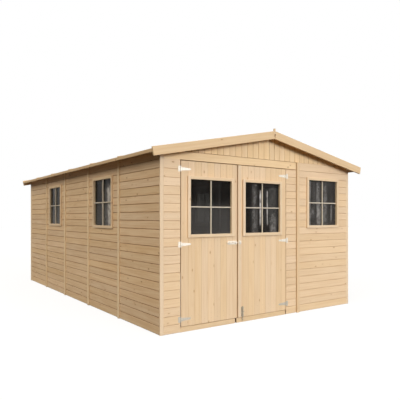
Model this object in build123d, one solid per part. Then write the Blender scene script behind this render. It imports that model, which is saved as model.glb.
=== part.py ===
from build123d import *
import math
import os

# Wooden garden shed, in millimetres.
# The pieces are drawn about the middle of the walls. The roof reaches further out at the front than
# at the back, so save() moves them until the origin is on the ground under the middle of the whole.
# +Z is up and the doors face -Y.

# Outer faces of the walls
HALF_W = 1510.0
HALF_L = 2490.0
BOARD_T = 14.0
FRAME_T = 28.0
WALL_T = BOARD_T + FRAME_T
CORNER_W = 44.0
BACK_CORNER_W = 80.0
GAP = 0.5

# Roof
EAVE_X = 1654.0
ROOF_FRONT = -2572.0
ROOF_BACK = 2490.0
ROOF_JOINT = -1745.0
ROOF_PITCH = 838.0
ROOF_PANELS = 6
RIDGE_Z = 2202.0
EAVE_Z = 1872.0
ROOF_T = 16.0
SLOPE = (RIDGE_Z - EAVE_Z) / EAVE_X
PITCH = math.atan(SLOPE)
EAVE_BOARD_T = 16.0
EAVE_BOARD_Z = (1846.0, 1882.0)
BARGE_T = 22.0
BARGE_H = 92.0
BARGE_RISE = 27.0
ROOF_STRIP_T = 20.0
ROOF_STRIP_X = 1632.0
STRIP_W = 45.0
STRIP_T = 12.0
FRONT_STRIP_T = 18.0
RIDGE_STRIP_W = 26.0
RIDGE_STRIP_Z = 2222.0
END_BLOCK_W = 21.0
END_BLOCK_Z = (2190.0, 2258.0)
BEAM_W = 45.0
BEAM_H = 95.0
BEARER_W = 45.0
BEARER_H = 28.0

# Wall panels
SIDE_PANELS = 5
SIDE_PITCH = 980.0
HEADER_Z = 1810.0
PLATE_Z = 1899.0
FRONT_JOINT_X = 490.0
BACK_JOINT_X = 489.0
POST_W = 70.0
RAIL_H = 45.0
MID_RAIL_Z = 985.0
SIDE_PLATE_Z = 1840.0
END_PLATE_Z = 1845.0

# Doors
LEFT_PIVOT_X = -1262.0
RIGHT_PIVOT_X = 287.0
PIVOT_OUT = 5.0
DOOR_GAP = 10.0
MEETING_X = -496.0
SILL_JOINT_X = -515.0
SILL_GAP = 10.0
SILL_H = 50.0
DOOR_Z0 = 58.0
DOOR_Z1 = 1800.0
LEDGE_Z = (135.0, 920.0, 1713.0)
LEDGE_H = 92.0
LEDGE_T = 24.0
BRACE_W = 80.0
MEETING_STRIP_W = 45.0

# Windows
GLASS_W = 555.0
GLASS_H = 587.0
CASING_W = 627.0
CASING_H = 655.0
CASING_T = 18.0
LINER_W = 597.0
LINER_H = 629.0
REBATE = 11.0
PANE_T = 4.0
PANE_IN = 11.0
FRONT_WINDOW = (970.0, 1393.0)
SIDE_WINDOW_Y = (-1025.0, 942.0)
SIDE_WINDOW_Z = 1394.0
LEFT_DOOR_WINDOW = (-866.0, 1316.0)
RIGHT_DOOR_WINDOW = (-107.0, 1316.0)

# Hinges and bolts
HINGE_T = 2.5
KNUCKLE_R = 5.0
PIN_R = 2.5
PIN_CLEARANCE = 0.05
PLATE_W = 25.0
PLATE_H = 60.0
STRAP_L = 126.0
STRAP_H = 38.0
STRAP_TIP_H = 20.0
BOLT_R = 5.0

FACE_Y = -HALF_L
ORIGIN_Y = (ROOF_FRONT + ROOF_BACK) / 2


def roof_top(x):
    return RIDGE_Z - SLOPE * abs(x)


def roof_under(x):
    return roof_top(x) - ROOF_T / math.cos(PITCH)


def block(x0, x1, y0, y1, z0, z1):
    return Pos((x0 + x1) / 2, (y0 + y1) / 2, (z0 + z1) / 2) * Box(abs(x1 - x0), abs(y1 - y0), abs(z1 - z0))


def along_y(points, y0, y1):
    # a profile drawn in x and z, run from y0 to y1
    face = make_face(Polyline([(x, y0, z) for x, z in points], close=True).edges()).face()
    return Solid.extrude(face, Vector(0, y1 - y0, 0))


def mirrored(shape):
    return shape.mirror(Plane.YZ)


def back_of(shape):
    return shape.mirror(Plane.XZ)


def save(name, solids):
    items = solids if isinstance(solids, list) else [solids]
    items = [Pos(0, -ORIGIN_Y, 0) * item for item in items]
    shape = items[0] if len(items) == 1 else Compound(children=items)
    export_step(shape, "parts/" + name + ".step")


os.makedirs("parts", exist_ok=True)

# Side walls: five panels, with the tops cut to the slope of the roof
END_Y = HALF_L - BOARD_T
joints_y = [-HALF_L + SIDE_PITCH * k for k in range(1, SIDE_PANELS)]
BACK_CORNER_Y = HALF_L - BACK_CORNER_W
panel_ends = [-END_Y] + joints_y + [BACK_CORNER_Y]
frame_ends = [-END_Y] + joints_y + [END_Y]


def side_profile(x0, x1, z0):
    return [(x0, z0), (x1, z0), (x1, roof_under(x1)), (x0, roof_under(x0))]


def window_hole(depth):
    return Box(LINER_W + 2, depth, LINER_H + 2)


plain_panels = []
window_panels = []
for k in range(SIDE_PANELS):
    y0 = panel_ends[k] + (GAP if k else 0)
    y1 = panel_ends[k + 1] - GAP
    panel = along_y(side_profile(-HALF_W, -HALF_W + BOARD_T, 0), y0, y1)
    if k % 2:
        hole = Pos(-HALF_W, SIDE_WINDOW_Y[k // 2], SIDE_WINDOW_Z) * Rot(0, 0, 90) * window_hole(100)
        window_panels.append((panel - hole).solid())
    else:
        plain_panels.append(panel)
save("left_wall_panels", plain_panels)
save("left_wall_window_panels", window_panels)
save("right_wall_panels", [mirrored(p) for p in plain_panels])
save("right_wall_window_panels", [mirrored(p) for p in window_panels])

# Corner strips: narrow ones on the front close the side walls, and wide ones end the sides at the back
corner = block(-HALF_W, -HALF_W + CORNER_W, FACE_Y, FACE_Y + BOARD_T, 0, roof_under(HALF_W))
back_corner = along_y(side_profile(-HALF_W, -HALF_W + BOARD_T, 0), BACK_CORNER_Y, HALF_L)
save("corner_strips", [corner, mirrored(corner), back_corner, mirrored(back_corner)])

# Front wall: split beside and over the doors
INNER_X = HALF_W - CORNER_W - GAP
JAMB_L = LEFT_PIVOT_X - DOOR_GAP / 2
JAMB_R = RIGHT_PIVOT_X + DOOR_GAP / 2
END_TOP_X = (roof_under(0) - PLATE_Z) / SLOPE
front = (FACE_Y, FACE_Y + BOARD_T)
save("front_left_jamb", block(-INNER_X, JAMB_L, front[0], front[1], 0, HEADER_Z))
save("front_right_jamb", block(JAMB_R, FRONT_JOINT_X - GAP, front[0], front[1], 0, HEADER_Z))
header_profile = [
    (-INNER_X, HEADER_Z),
    (FRONT_JOINT_X - GAP, HEADER_Z),
    (FRONT_JOINT_X - GAP, PLATE_Z),
    (-END_TOP_X, PLATE_Z),
    (-INNER_X, roof_under(INNER_X)),
]
save("front_header", along_y(header_profile, *front))
window_profile = [
    (FRONT_JOINT_X + GAP, 0),
    (INNER_X, 0),
    (INNER_X, roof_under(INNER_X)),
    (END_TOP_X, PLATE_Z),
    (FRONT_JOINT_X + GAP, PLATE_Z),
]
front_hole = Pos(FRONT_WINDOW[0], FACE_Y, FRONT_WINDOW[1]) * window_hole(100)
save("front_window_panel", (along_y(window_profile, *front) - front_hole).solid())
gable = along_y([(-END_TOP_X, PLATE_Z), (END_TOP_X, PLATE_Z), (0, roof_under(0))], *front)
save("front_gable", gable)
save("back_gable", back_of(gable))
sills = [
    block(JAMB_L + 1, SILL_JOINT_X - SILL_GAP / 2, FACE_Y, FACE_Y + WALL_T, 0, SILL_H),
    block(SILL_JOINT_X + SILL_GAP / 2, JAMB_R - 8, FACE_Y, FACE_Y + WALL_T, 0, SILL_H),
]
save("door_sill", sills)

# Back wall: three plain panels
BACK_INNER_X = HALF_W - BOARD_T - GAP
back_end = along_y(
    [
        (BACK_JOINT_X + GAP, 0),
        (BACK_INNER_X, 0),
        (BACK_INNER_X, roof_under(BACK_INNER_X)),
        (END_TOP_X, PLATE_Z),
        (BACK_JOINT_X + GAP, PLATE_Z),
    ],
    HALF_L - BOARD_T,
    HALF_L,
)
back_middle = block(-BACK_JOINT_X + GAP, BACK_JOINT_X - GAP, HALF_L - BOARD_T, HALF_L, 0, PLATE_Z)
save("back_wall_panels", [mirrored(back_end), back_middle, back_end])

# Cover strips over the panel joints, on the sides, the front and the back
side_strips = []
for y in joints_y:
    x_out = -HALF_W - STRIP_T
    profile = [
        (x_out, 0),
        (-HALF_W, 0),
        (-HALF_W, roof_under(HALF_W)),
        (x_out, roof_under(x_out)),
    ]
    side_strips.append(along_y(profile, y - STRIP_W / 2, y + STRIP_W / 2))
strip_x = FRONT_JOINT_X - STRIP_W / 2
front_strip = block(strip_x, strip_x + STRIP_W, FACE_Y - FRONT_STRIP_T, FACE_Y, 0, PLATE_Z)
back_strip = block(
    BACK_JOINT_X - STRIP_W / 2, BACK_JOINT_X + STRIP_W / 2, HALF_L, HALF_L + STRIP_T, 0, PLATE_Z
)
end_strips = [front_strip, back_strip, mirrored(back_strip)]
save("wall_cover_strips", side_strips + [mirrored(s) for s in side_strips] + end_strips)

# Posts behind the boards; a post at a joint stands for the two panel edges bolted there
frame_x = (-HALF_W + BOARD_T, -HALF_W + WALL_T)
frame_y = (FACE_Y + BOARD_T, FACE_Y + WALL_T)
post_z = (RAIL_H, SIDE_PLATE_Z)
posts = []
post_spans = [(-END_Y, -END_Y + POST_W)]
post_spans += [(y - POST_W / 2, y + POST_W / 2) for y in joints_y]
post_spans += [(END_Y - POST_W, END_Y)]
for y0, y1 in post_spans:
    post = block(*frame_x, y0, y1, *post_z)
    posts += [post, mirrored(post)]
edge = HALF_W - WALL_T - 1
front_posts = [
    (-edge, -edge + POST_W),
    (JAMB_L - 2 - POST_W, JAMB_L - 2),
    (JAMB_R + 2, JAMB_R + 2 + POST_W),
    (FRONT_JOINT_X - 1 - POST_W, FRONT_JOINT_X - 1),
    (FRONT_JOINT_X + 1, FRONT_JOINT_X + 1 + POST_W),
    (edge - POST_W, edge),
]
posts += [block(x0, x1, *frame_y, RAIL_H, END_PLATE_Z) for x0, x1 in front_posts]
back_posts = [
    (-edge, -edge + POST_W),
    (-BACK_JOINT_X - POST_W / 2, -BACK_JOINT_X + POST_W / 2),
    (BACK_JOINT_X - POST_W / 2, BACK_JOINT_X + POST_W / 2),
    (edge - POST_W, edge),
]
posts += [back_of(block(x0, x1, *frame_y, RAIL_H, END_PLATE_Z)) for x0, x1 in back_posts]
BEAM_Z = roof_under(0) - BEAM_H
king = block(-BEAM_W / 2, BEAM_W / 2, *frame_y, END_PLATE_Z + RAIL_H, BEAM_Z)
posts += [king, back_of(king)]
save("wall_posts", posts)

# Rails behind the boards, and the sloping rails of the gables
rails = []
for k in range(SIDE_PANELS):
    y0 = frame_ends[k] + GAP
    y1 = frame_ends[k + 1] - GAP
    low = block(*frame_x, y0, y1, 0, RAIL_H)
    middle = block(*frame_x, post_spans[k][1], post_spans[k + 1][0], MID_RAIL_Z, MID_RAIL_Z + RAIL_H)
    top = along_y(side_profile(frame_x[0], frame_x[1], SIDE_PLATE_Z), y0, y1)
    for rail in (low, middle, top):
        rails += [rail, mirrored(rail)]
front_low = [(-edge, JAMB_L - 2), (JAMB_R + 2, FRONT_JOINT_X - 1), (FRONT_JOINT_X + 1, edge)]
rails += [block(x0, x1, *frame_y, 0, RAIL_H) for x0, x1 in front_low]
front_top = [(-edge, FRONT_JOINT_X - 1), (FRONT_JOINT_X + 1, edge)]
rails += [block(x0, x1, *frame_y, END_PLATE_Z, END_PLATE_Z + RAIL_H) for x0, x1 in front_top]
rails.append(block(front_posts[4][1], front_posts[5][0], *frame_y, MID_RAIL_Z, MID_RAIL_Z + RAIL_H))
back_ends = [-edge, -BACK_JOINT_X, BACK_JOINT_X, edge]
for k in range(3):
    x0 = back_ends[k] + GAP
    x1 = back_ends[k + 1] - GAP
    rails.append(back_of(block(x0, x1, *frame_y, 0, RAIL_H)))
    rails.append(back_of(block(x0, x1, *frame_y, END_PLATE_Z, END_PLATE_Z + RAIL_H)))
    m0 = back_posts[k][1]
    m1 = back_posts[k + 1][0]
    rails.append(back_of(block(m0, m1, *frame_y, MID_RAIL_Z, MID_RAIL_Z + RAIL_H)))
rafter_x = BEAM_W / 2 + 1
rafter_end = (roof_under(0) - RAIL_H - 1900) / SLOPE
rafter = along_y(
    [
        (rafter_x, roof_under(rafter_x)),
        (rafter_x, roof_under(rafter_x) - RAIL_H),
        (rafter_end, roof_under(rafter_end) - RAIL_H),
        (rafter_end, roof_under(rafter_end)),
    ],
    *frame_y,
)
rails += [rafter, mirrored(rafter), back_of(rafter), back_of(mirrored(rafter))]
save("wall_rails", rails)


def window_frame(depth):
    # casing on the face, liner through the wall, and a rebate that takes the pane from behind;
    # the ring is cut into two uprights and the two rails between them, at the edge of the sight
    casing = Pos(0, -CASING_T / 2, 0) * Box(CASING_W, CASING_T, CASING_H)
    casing = chamfer(casing.faces().sort_by(Axis.Y)[0].edges(), 3)
    liner = Pos(0, depth / 2, 0) * Box(LINER_W, depth, LINER_H)
    sight = Box(GLASS_W, 4 * depth, GLASS_H)
    rebate = Pos(0, PANE_IN + depth, 0) * Box(GLASS_W + 2 * REBATE, 2 * depth, GLASS_H + 2 * REBATE)
    ring = casing + liner - sight - rebate
    cut_x = GLASS_W / 2
    outer = block(cut_x, CASING_W, -depth, 2 * depth, -CASING_H, CASING_H)
    upper = block(-cut_x, cut_x, -depth, 2 * depth, 0, CASING_H)
    lower = block(-cut_x, cut_x, -depth, 2 * depth, -CASING_H, 0)
    return [(ring & part).solid() for part in (mirrored(outer), outer, upper, lower)]


def pane():
    return Pos(0, PANE_IN + PANE_T / 2, 0) * Box(
        GLASS_W + 2 * REBATE - 2, PANE_T, GLASS_H + 2 * REBATE - 2
    )


# Windows of the walls
left_places = [Pos(-HALF_W, y, SIDE_WINDOW_Z) * Rot(0, 0, -90) for y in SIDE_WINDOW_Y]
front_place = Pos(FRONT_WINDOW[0], FACE_Y, FRONT_WINDOW[1])
left_frames = [place * length for place in left_places for length in window_frame(WALL_T)]
front_frame = [front_place * length for length in window_frame(WALL_T)]
save("wall_window_frames", left_frames + [mirrored(f) for f in left_frames] + front_frame)
left_panes = [place * pane() for place in left_places]
front_pane = front_place * pane()
save("wall_window_glass", left_panes + [mirrored(p) for p in left_panes] + [front_pane])

# Roof: panels, bearers and beam, then the strips and boards that close the edges
roof_profile = [
    (-EAVE_X + EAVE_BOARD_T, roof_under(EAVE_X - EAVE_BOARD_T)),
    (-GAP, roof_under(GAP)),
    (-GAP, roof_top(GAP)),
    (-EAVE_X + EAVE_BOARD_T, roof_top(EAVE_X - EAVE_BOARD_T)),
]
roof_joints = [ROOF_JOINT + ROOF_PITCH * k for k in range(ROOF_PANELS - 1)]
roof_ends = [ROOF_FRONT] + roof_joints + [ROOF_BACK]
left_roof = []
for k in range(ROOF_PANELS):
    y0 = roof_ends[k] + (GAP if k else 0)
    y1 = roof_ends[k + 1] - (GAP if k < ROOF_PANELS - 1 else 0)
    left_roof.append(along_y(roof_profile, y0, y1))
save("left_roof_panels", left_roof)
save("right_roof_panels", [mirrored(p) for p in left_roof])

beam_profile = [
    (-BEAM_W / 2, BEAM_Z),
    (BEAM_W / 2, BEAM_Z),
    (BEAM_W / 2, roof_under(BEAM_W / 2)),
    (0, roof_under(0)),
    (-BEAM_W / 2, roof_under(BEAM_W / 2)),
]
save("ridge_beam", along_y(beam_profile, -END_Y, END_Y))

bearer_end = HALF_W - WALL_T - 1
bearer_profile = [
    (-rafter_x, roof_under(rafter_x)),
    (-rafter_x, roof_under(rafter_x) - BEARER_H),
    (-bearer_end, roof_under(bearer_end) - BEARER_H),
    (-bearer_end, roof_under(bearer_end)),
]
bearers = [along_y(bearer_profile, y - BEARER_W / 2, y + BEARER_W / 2) for y in roof_joints]
save("roof_bearers", bearers + [mirrored(b) for b in bearers])

strip_rise = ROOF_STRIP_T / math.cos(PITCH)
strip_in = RIDGE_STRIP_W / 2 + 1
strip_profile = [
    (-strip_in, roof_top(strip_in)),
    (-ROOF_STRIP_X, roof_top(ROOF_STRIP_X)),
    (-ROOF_STRIP_X, roof_top(ROOF_STRIP_X) + strip_rise),
    (-strip_in, roof_top(strip_in) + strip_rise),
]
roof_strips = [along_y(strip_profile, y - STRIP_W / 2, y + STRIP_W / 2) for y in roof_joints]
save("roof_cover_strips", roof_strips + [mirrored(s) for s in roof_strips])

half_strip = RIDGE_STRIP_W / 2
ridge_profile = [
    (-half_strip, roof_top(half_strip)),
    (0, roof_top(0)),
    (half_strip, roof_top(half_strip)),
    (half_strip, RIDGE_STRIP_Z),
    (-half_strip, RIDGE_STRIP_Z),
]
ridge_strip = along_y(ridge_profile, ROOF_FRONT, ROOF_BACK)
end_x = END_BLOCK_W / 2
front_block = block(-end_x, end_x, ROOF_FRONT - BARGE_T, ROOF_FRONT, *END_BLOCK_Z)
back_block = block(-end_x, end_x, ROOF_BACK, ROOF_BACK + BARGE_T, *END_BLOCK_Z)
save("ridge_strip", [ridge_strip, front_block, back_block])

eave = block(-EAVE_X, -EAVE_X + EAVE_BOARD_T, ROOF_FRONT, ROOF_BACK, *EAVE_BOARD_Z)
save("eave_boards", [eave, mirrored(eave)])

# Bargeboards, cut square at both ends, so that a notch opens over the ridge
barge_top = EAVE_Z + BARGE_RISE
barge_foot = RIDGE_Z + BARGE_RISE - SLOPE * GAP - BARGE_H / math.cos(PITCH)
barge_in = BARGE_H * math.sin(PITCH)
barge_up = BARGE_H * math.cos(PITCH)
barge_profile = [
    (-EAVE_X, barge_top),
    (-GAP - barge_in, barge_foot + barge_up),
    (-GAP, barge_foot),
    (-EAVE_X + barge_in, barge_top - barge_up),
]
front_barge = along_y(barge_profile, ROOF_FRONT - BARGE_T, ROOF_FRONT)
save("front_bargeboards", [front_barge, mirrored(front_barge)])
back_barge = along_y(barge_profile, ROOF_BACK, ROOF_BACK + BARGE_T)
save("back_bargeboards", [back_barge, mirrored(back_barge)])

# Hinges: the jamb plate carries the pin, and the strap's knuckle turns on it
PIVOT_Y = FACE_Y - PIVOT_OUT


def upright_cylinder(radius, z0, z1):
    return Pos(0, 0, (z0 + z1) / 2) * Cylinder(radius, z1 - z0)


def hinge_plate():
    # drawn with the pin on the Z axis and the plate towards -X
    plate = block(-PLATE_W - PIVOT_OUT, 0, PIVOT_OUT - HINGE_T, PIVOT_OUT, -PLATE_H / 2, PLATE_H / 2)
    outer = plate.edges().filter_by(Axis.Y).group_by(Axis.X)[0]
    plate = fillet(outer, 6)
    barrel = upright_cylinder(KNUCKLE_R, -PLATE_H / 2, PLATE_H / 2)
    room = block(-KNUCKLE_R - 1.5, 20, -30, 30, -STRAP_H / 2 - 1, STRAP_H / 2 + 1)
    pin = upright_cylinder(PIN_R, -PLATE_H / 2, PLATE_H / 2)
    return (plate + barrel - room + pin).solid()


def hinge_strap():
    # drawn with the pin on the Z axis and the strap towards +X, tapered to a round tip
    y0 = PIVOT_OUT - HINGE_T
    tip = STRAP_TIP_H / 2
    outline = [
        (0, -STRAP_H / 2),
        (STRAP_L - tip, -tip),
        (STRAP_L - tip, tip),
        (0, STRAP_H / 2),
    ]
    strap = along_y(outline, y0, PIVOT_OUT)
    end = Pos(STRAP_L - tip, y0 + HINGE_T / 2, 0) * Rot(90, 0, 0) * Cylinder(tip, HINGE_T)
    barrel = upright_cylinder(KNUCKLE_R, -STRAP_H / 2, STRAP_H / 2)
    bore = upright_cylinder(PIN_R + PIN_CLEARANCE, -STRAP_H, STRAP_H)
    return (strap + end + barrel - bore).solid()


left_pins = [Pos(LEFT_PIVOT_X, PIVOT_Y, z) for z in LEDGE_Z]
right_pins = [Pos(RIGHT_PIVOT_X, PIVOT_Y, z) for z in LEDGE_Z]
turned = mirrored(hinge_plate())
save("jamb_hinge_plates", [p * hinge_plate() for p in left_pins] + [p * turned for p in right_pins])
save("left_door_hinge_straps", [p * hinge_strap() for p in left_pins])
turned_strap = mirrored(hinge_strap())
save("right_door_hinge_straps", [p * turned_strap for p in right_pins])


def door(name, x0, x1, window, hinge_x):
    # boards with a window opening, three ledges behind them and a brace under the window
    boards = block(x0, x1, FACE_Y, FACE_Y + BOARD_T, DOOR_Z0, DOOR_Z1)
    hole = Pos(window[0], FACE_Y, window[1]) * window_hole(100)
    save(name + "_boards", (boards - hole).solid())
    back = FACE_Y + BOARD_T
    ledges = []
    for z in LEDGE_Z:
        ledges.append(block(x0 + 35, x1 - 35, back, back + LEDGE_T, z - LEDGE_H / 2, z + LEDGE_H / 2))
    save(name + "_ledges", ledges)
    z0 = LEDGE_Z[0] + LEDGE_H / 2
    z1 = LEDGE_Z[1] - LEDGE_H / 2
    low = x0 + 60 if hinge_x == x0 else x1 - 60
    high = x1 - 60 if hinge_x == x0 else x0 + 60
    step = BRACE_W if hinge_x == x0 else -BRACE_W
    brace = along_y([(low, z0), (low + step, z0), (high, z1), (high - step, z1)], back, back + LEDGE_T)
    save(name + "_brace", brace)
    place = Pos(window[0], FACE_Y, window[1])
    save(name + "_window_frame", [place * length for length in window_frame(BOARD_T + LEDGE_T)])
    save(name + "_glass", place * pane())


LEFT_DOOR_X0 = LEFT_PIVOT_X + DOOR_GAP / 2
LEFT_DOOR_X1 = MEETING_X - DOOR_GAP / 2
RIGHT_DOOR_X0 = MEETING_X + DOOR_GAP / 2
RIGHT_DOOR_X1 = RIGHT_PIVOT_X - DOOR_GAP / 2
door("left_door", LEFT_DOOR_X0, LEFT_DOOR_X1, LEFT_DOOR_WINDOW, LEFT_DOOR_X0)
door("right_door", RIGHT_DOOR_X0, RIGHT_DOOR_X1, RIGHT_DOOR_WINDOW, RIGHT_DOOR_X1)
strip_end = RIGHT_DOOR_X0 + MEETING_STRIP_W
save("meeting_strip", block(RIGHT_DOOR_X0, strip_end, FACE_Y - STRIP_T, FACE_Y, DOOR_Z0, DOOR_Z1))


def slide_bolt(length, rod0, rod1, knob_x):
    # drawn along X on the plane y=0: plate, two guides, rod and knob
    plate = block(-length, 0, -2, 0, -20, 20)
    plate = fillet(plate.edges().filter_by(Axis.Y), 5)
    rod = Pos((rod0 + rod1) / 2, -11, 0) * Rot(0, 90, 0) * Cylinder(BOLT_R, rod1 - rod0)
    guides = []
    for x in (-length + 16, -14):
        guides.append(block(x - 8, x + 8, -18, 0, -9, 9))
    knob = Pos(knob_x, -22, 0) * Rot(90, 0, 0) * Cylinder(4.5, 22)
    return (plate + guides[0] + guides[1] + rod + knob).solid()


# Slide bolt on the left door, its keeper on the meeting strip and the foot bolt of the right door
LATCH_Z = 917.0
latch = Pos(LEFT_DOOR_X1 - 8, FACE_Y, LATCH_Z) * slide_bolt(122, -146, 6, -70)
save("door_latch", latch)
keeper_x = RIGHT_DOOR_X0 + 5
keeper = block(keeper_x, keeper_x + 36, FACE_Y - STRIP_T - 2, FACE_Y - STRIP_T, LATCH_Z - 20, LATCH_Z + 20)
keeper_loop = block(
    keeper_x + 9, keeper_x + 27, FACE_Y - STRIP_T - 16, FACE_Y - STRIP_T, LATCH_Z - 10, LATCH_Z + 10
)
keeper_bore = Pos(keeper_x + 18, FACE_Y - STRIP_T - 7.5, LATCH_Z) * Rot(0, 90, 0) * Cylinder(5.5, 40)
save("latch_keeper", (keeper + keeper_loop - keeper_bore).solid())
foot_place = Pos(-425, FACE_Y, DOOR_Z0 + 8) * Rot(0, 90, 0)
foot = foot_place * slide_bolt(110, -116, 44, -60)
save("foot_bolt", foot)
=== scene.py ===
import math
import bpy
import numpy as np
from mathutils import Matrix, Vector


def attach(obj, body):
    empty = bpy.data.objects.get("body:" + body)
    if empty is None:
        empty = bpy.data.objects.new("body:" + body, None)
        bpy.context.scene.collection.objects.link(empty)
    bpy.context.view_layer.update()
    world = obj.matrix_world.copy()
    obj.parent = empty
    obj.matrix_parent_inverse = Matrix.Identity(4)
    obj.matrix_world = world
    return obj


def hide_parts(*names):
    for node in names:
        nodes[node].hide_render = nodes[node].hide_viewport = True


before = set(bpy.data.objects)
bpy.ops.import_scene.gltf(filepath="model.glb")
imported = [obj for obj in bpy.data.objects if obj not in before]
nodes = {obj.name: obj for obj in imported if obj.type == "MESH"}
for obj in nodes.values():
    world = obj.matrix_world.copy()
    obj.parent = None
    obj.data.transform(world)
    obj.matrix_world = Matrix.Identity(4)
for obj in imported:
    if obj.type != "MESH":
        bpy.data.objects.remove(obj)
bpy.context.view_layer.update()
chance = np.random.default_rng(11)

# Sizes of the shed, in metres. Pieces are drawn about the middle of the walls, and SHIFT_Y takes them to
# their place in the frame.
SHIFT_Y = 0.041
HALF_W, HALF_L = 1.510, 2.490
BOARD_T, WALL_T, HALF_GAP = 0.014, 0.042, 0.0005
COURSE = 0.0898
HEADER_Z, PLATE_Z = 1.810, 1.899
CORNER_W, BACK_CORNER_Y = 0.044, 2.410
EAVE_X, ROOF_FRONT, ROOF_BACK = 1.654, -2.572, 2.490
RIDGE_Z, EAVE_Z, ROOF_T = 2.202, 1.872, 0.016
SLOPE = (RIDGE_Z - EAVE_Z) / EAVE_X
PITCH = math.atan(SLOPE)
BARGE_T, BARGE_H, BARGE_RISE = 0.022, 0.092, 0.027
STRIP_W, STRIP_T, FRONT_STRIP_T = 0.045, 0.012, 0.018
PANEL_W, ROOF_PANEL_W, FIRST_ROOF_JOINT = 0.980, 0.838, -1.745
JOINTS_Y = [-HALF_L + PANEL_W * k for k in range(1, 5)]
ROOF_JOINTS = [FIRST_ROOF_JOINT + ROOF_PANEL_W * k for k in range(5)]
END_Y = HALF_L - BOARD_T
FRONT_JOINT_X, BACK_JOINT_X = 0.490, 0.489
JAMB_L, JAMB_R = -1.267, 0.292
INNER_X = HALF_W - CORNER_W - HALF_GAP
BACK_INNER_X = HALF_W - BOARD_T - HALF_GAP
FACE = -HALF_L
DOOR_Z0, DOOR_Z1, LEDGE_T = 0.058, 1.800, 0.024
LEFT_DOOR, RIGHT_DOOR = (-1.257, -0.501), (-0.491, 0.282)
LEFT_BOARDS, RIGHT_BOARDS, DOOR_BOARDS = (-1.1685, -0.5635), (-0.412, 0.2045), 7
SIDE_WINDOWS_Y, SIDE_WINDOW_Z = (-1.025, 0.942), 1.394
FRONT_WINDOW = (0.970, 1.393)
LEFT_DOOR_WINDOW, RIGHT_DOOR_WINDOW = (-0.866, 1.316), (-0.107, 1.316)
GLASS_W, GLASS_H = 0.555, 0.587
CASING_W, CASING_H, CASING_T = 0.627, 0.655, 0.018
LINER_W, LINER_H, REBATE = 0.597, 0.629, 0.011
HOLE_W, HOLE_H = 0.599, 0.631
PANE_IN, PANE_T = 0.011, 0.004
HINGE_Z = (0.135, 0.920, 1.713)
LEFT_PIVOT_X, RIGHT_PIVOT_X = -1.262, 0.287
SAWN_EASE, TRIM_EASE = 0.0016, 0.002


def roof_top(x):
    return RIDGE_Z - SLOPE * abs(x)


def roof_under(x):
    return roof_top(x) - ROOF_T / math.cos(PITCH)


def linear(red, green, blue):
    """An 8-bit screen colour as the renderer's linear one."""
    def one(c):
        c = c / 255
        return c / 12.92 if c <= 0.04045 else ((c + 0.055) / 1.055) ** 2.4
    return (one(red), one(green), one(blue), 1.0)


# Shader nodes

class Sock:
    """A shader socket that can stand in a sum, and that adds further nodes to its tree."""

    def __init__(self, tree, socket=None):
        self.tree = tree
        self.socket = socket

    def node(self, kind, settings=(), sockets=(), out=0):
        made = self.tree.nodes.new("ShaderNode" + kind)
        for key, value in dict(settings).items():
            setattr(made, key, value)
        for key, value in dict(sockets).items():
            if isinstance(value, Sock):
                self.tree.links.new(value.socket, made.inputs[key])
            else:
                made.inputs[key].default_value = value
        return Sock(self.tree, made.outputs[out] if made.outputs else None)

    def other(self, out):
        return Sock(self.tree, self.socket.node.outputs[out])

    def math(self, operation, other=0.0):
        return self.node("Math", {"operation": operation}, {0: self, 1: other})

    def __add__(self, other):
        return self.math("ADD", other)

    def __sub__(self, other):
        return self.math("SUBTRACT", other)

    def __rsub__(self, other):
        return self * -1.0 + other

    def __mul__(self, other):
        return self.math("MULTIPLY", other)

    __radd__ = __add__
    __rmul__ = __mul__

    def vector(self, operation, other, out=0):
        return self.node("VectorMath", {"operation": operation}, {0: self, 1: other}, out)

    def times(self, factor):
        return self.node("VectorMath", {"operation": "SCALE"}, {0: self, "Scale": factor})

    def blend(self, other, share, way="MIX"):
        settings = {"data_type": "RGBA", "blend_type": way, "clamp_factor": True}
        return self.node("Mix", settings, {0: share, 6: self, 7: other}, 2)

    def between(self, low, high, to_low=0.0, to_high=1.0):
        sockets = {"Value": self, 1: low, 2: high, 3: to_low, 4: to_high}
        return self.node("MapRange", {"interpolation_type": "SMOOTHSTEP"}, sockets)

    def noise(self, scale=1.0, detail=2.0, rough=0.5):
        sockets = {"Vector": self, "Scale": scale, "Detail": detail, "Roughness": rough}
        return self.node("TexNoise", (), sockets)

    def into(self, shader, name):
        self.tree.links.new(self.socket, shader.inputs[name])


def start_material(name):
    material = bpy.data.materials.new(name)
    material.use_nodes = True
    shader = material.node_tree.nodes["Principled BSDF"]
    return material, Sock(material.node_tree), shader


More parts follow.
